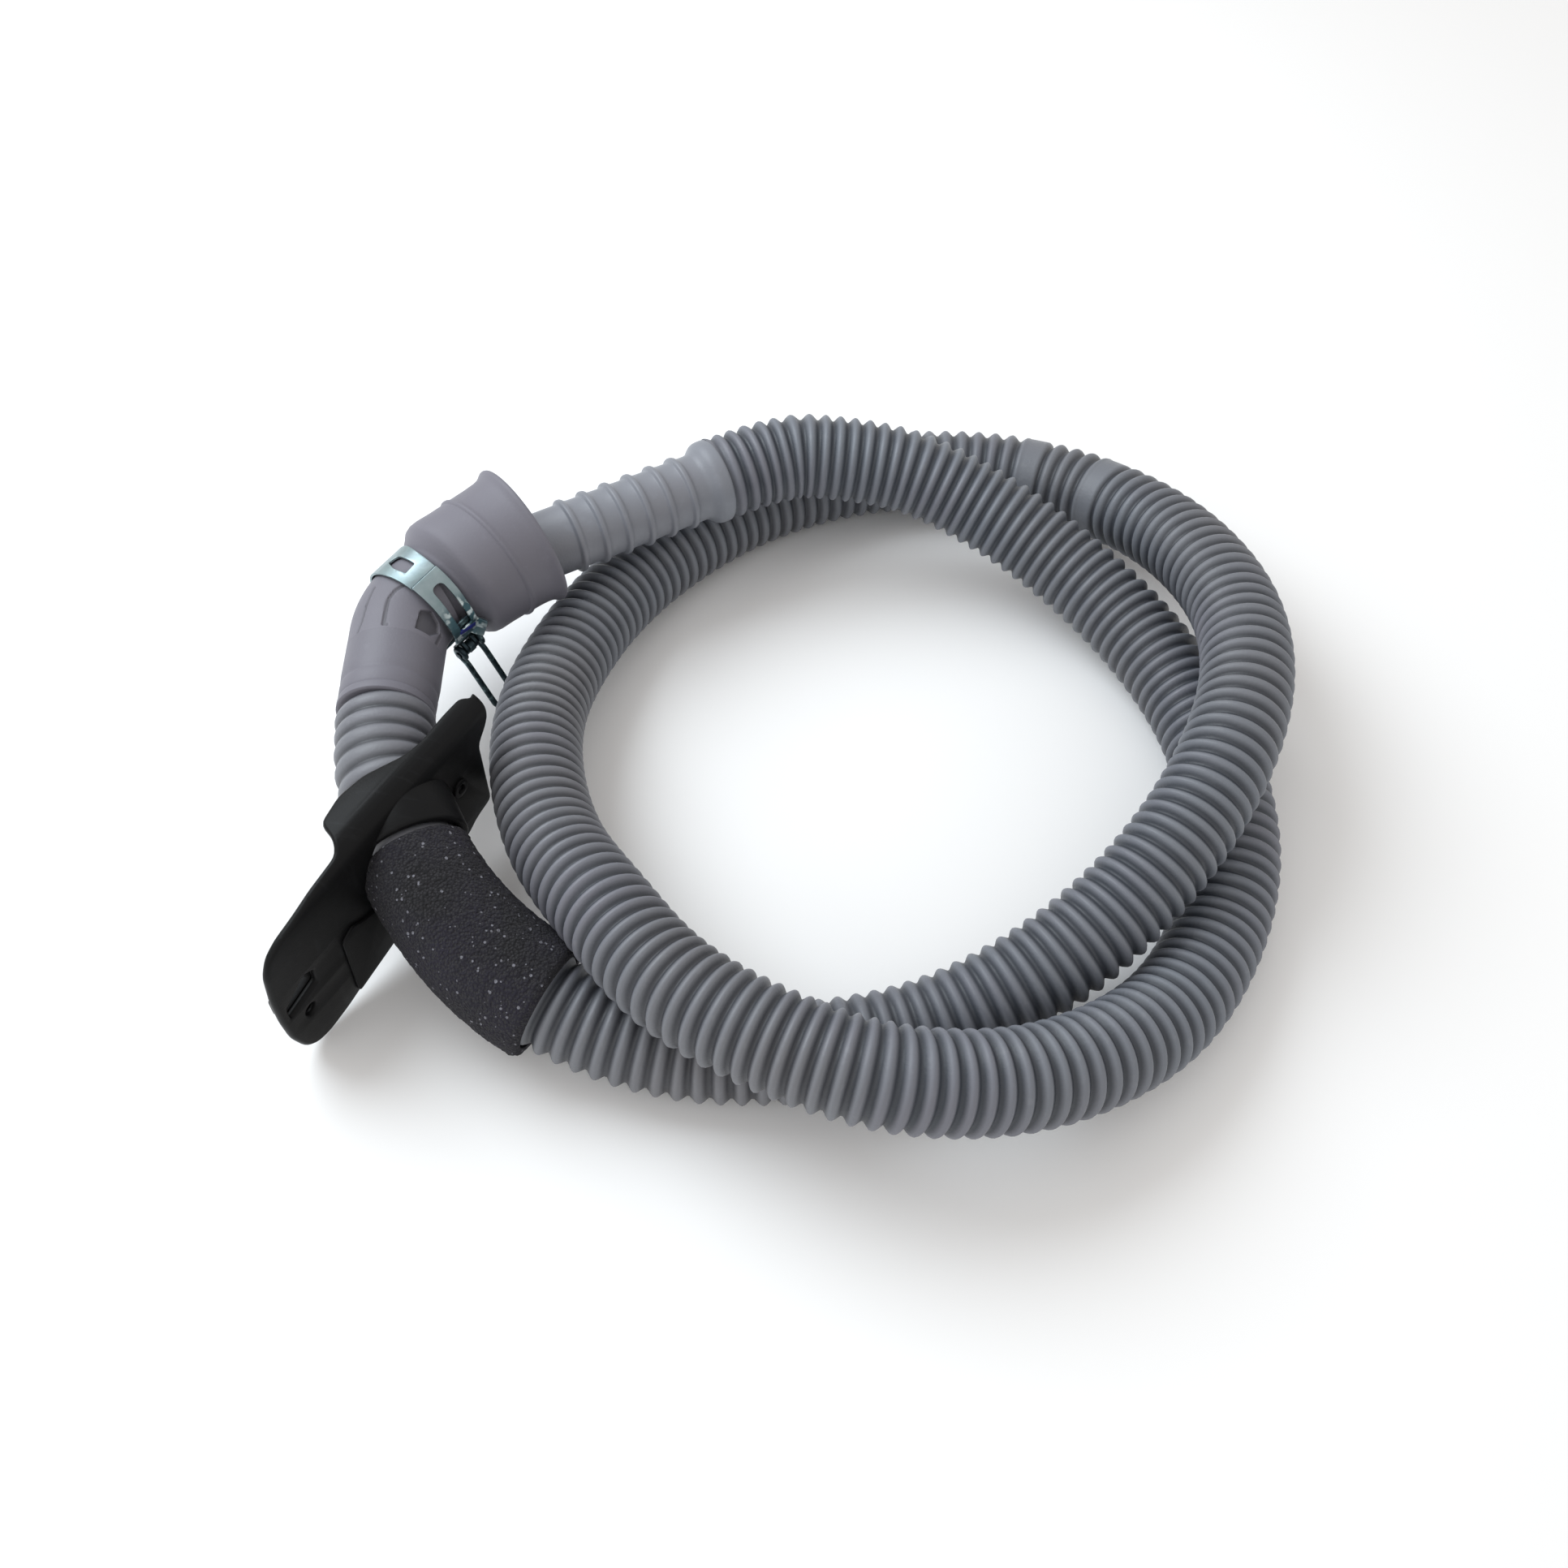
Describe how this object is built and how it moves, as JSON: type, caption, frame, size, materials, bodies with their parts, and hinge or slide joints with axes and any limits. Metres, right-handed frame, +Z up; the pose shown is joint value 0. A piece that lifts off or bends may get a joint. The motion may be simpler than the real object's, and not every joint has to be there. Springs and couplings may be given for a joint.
{
  "type": "coiled drain hose",
  "caption": "Coiled corrugated drain hose with a ribbed outlet end, a rubber elbow with a clamped cup, a foam sleeve and a turning mounting bracket.",
  "frame": {"origin": "centre of the set's outline in plan, on the plane that its lowest turns rest on", "axes": "+Z up, square to the plane of the coil; +X along the coil's longer side, towards its plain side; the elbow and bracket are on the -X side"},
  "size_m": [0.3357, 0.3284, 0.0835],
  "materials": {
    "hose": "satin grey plastic",
    "spigot": "satin warm grey plastic",
    "elbow": "matte grey rubber",
    "cup": "matte grey rubber",
    "clamp_steel": "zinc plated",
    "pin_steel": "zinc plated",
    "bail_wire": "dark plated wire",
    "foam": "open-cell foam with bright specks",
    "bracket": "satin black plastic"
  },
  "bodies": {
    "hose_set": {"drain_hose": "hose", "outlet_spigot": "spigot", "inlet_elbow": "elbow", "inlet_cup": "cup", "clamp_band": "clamp_steel", "clamp_pin": "pin_steel", "foam_sleeve": "foam"},
    "bail": {"clamp_bail": "bail_wire"},
    "bracket": {"bracket": "bracket"}
  },
  "joints": [
    {"name": "bail_swing", "type": "hinge", "parent": "hose_set", "child": "bail", "pos_m": [-0.12407, 0.0291, 0.03781], "axis": [0.5932, 0.7975, 0.1097], "range_deg": [0, 60]},
    {"name": "bracket_turn", "type": "hinge", "parent": "hose_set", "child": "bracket", "pos_m": [-0.12464, -0.0747, 0.03838], "axis": [-0.4977, 0.8427, 0.2052], "range_deg": [0, 12]}
  ]
}
